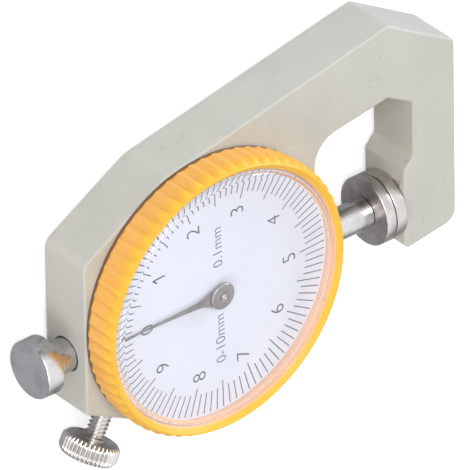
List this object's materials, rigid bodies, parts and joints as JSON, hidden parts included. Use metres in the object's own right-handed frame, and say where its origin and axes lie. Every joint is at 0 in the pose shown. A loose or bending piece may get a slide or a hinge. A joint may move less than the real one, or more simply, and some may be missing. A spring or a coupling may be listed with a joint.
{
  "type": "dial thickness gauge",
  "caption": "Dial thickness gauge: C-shaped cast frame, round dial with ridged turning bezel, sprung spindle with flat disc contacts, end button and knurled lock screw.",
  "frame": {"origin": "the dial axis at the back face of the frame", "axes": "+Z out of the dial, +X along the spindle towards the fixed anvil, +Y towards the spine of the frame"},
  "size_m": [0.0714, 0.0514, 0.0149],
  "materials": {
    "cast_paint": "satin warm grey paint on a fine cast surface",
    "bright_steel": "turned and ground steel",
    "spring_steel": "drawn spring steel",
    "nickel": "nickel plated",
    "brass": "machined brass",
    "bronze": "plain bearing bronze",
    "yellow_plastic": "moulded satin plastic",
    "dial_white": "matt white enamel",
    "clear_plastic": "clear moulded plastic",
    "dark_steel": "darkened steel"
  },
  "bodies": {
    "body": {"frame": "cast_paint", "front_bush": "bronze", "rear_bush": "bronze", "fixed_anvil": "bright_steel", "pivot_plate": "brass", "plate_screw_1": "nickel", "plate_screw_2": "nickel", "pillar_1": "brass", "pillar_2": "brass", "pillar_3": "brass", "bridge": "brass", "bridge_screw_1": "nickel", "bridge_screw_2": "nickel", "bridge_screw_3": "nickel", "spring_post": "bright_steel", "return_spring": "spring_steel", "hairspring": "spring_steel", "hairspring_stud": "brass", "snap_ring": "spring_steel"},
    "plunger": {"spindle": "bright_steel", "guide_pin": "bright_steel", "rack": "bright_steel", "rack_screw_1": "nickel", "rack_screw_2": "nickel", "spring_arm": "brass", "moving_contact": "bright_steel", "end_button": "bright_steel"},
    "needle": {"arbor": "bright_steel", "pinion": "brass", "hairspring_collet": "brass", "pointer": "dark_steel", "pointer_hub": "dark_steel"},
    "bezel_ring": {"bezel": "yellow_plastic", "dial_plate": "dial_white", "crystal": "clear_plastic"},
    "clamp": {"clamp_pad": "brass"},
    "screw": {"lock_screw": "nickel"}
  },
  "joints": [
    {"name": "spindle_slide", "type": "slide", "parent": "body", "child": "plunger", "axis": [-1, 0, 0], "range_m": [0, 0.01], "stiffness_N_per_m": 40, "springref_m": -0.025, "deforming": ["return_spring"]},
    {"name": "pointer_turn", "type": "hinge", "parent": "body", "child": "needle", "pos_m": [0, 0, 0.0042], "axis": [0, 0, -1], "range_deg": [-1, 361], "deforming": ["hairspring"]},
    {"name": "bezel_turn", "type": "hinge", "parent": "body", "child": "bezel_ring", "pos_m": [0, 0, 0.0114], "axis": [0, 0, 1], "continuous": true},
    {"name": "clamp_slide", "type": "slide", "parent": "body", "child": "clamp", "axis": [-0.4695, -0.8829, 0], "range_m": [0, 0.00121]},
    {"name": "lock_screw_turn", "type": "hinge", "parent": "clamp", "child": "screw", "pos_m": [-0.0078, -0.00445, 0.0042], "axis": [-0.4695, -0.8829, 0], "range_deg": [0, 720]}
  ],
  "couplings": [
    {"joint": "pointer_turn", "follows": "spindle_slide", "rad_per_m": 628.32},
    {"joint": "clamp_slide", "follows": "lock_screw_turn", "m_per_rad": 0.000095493}
  ]
}
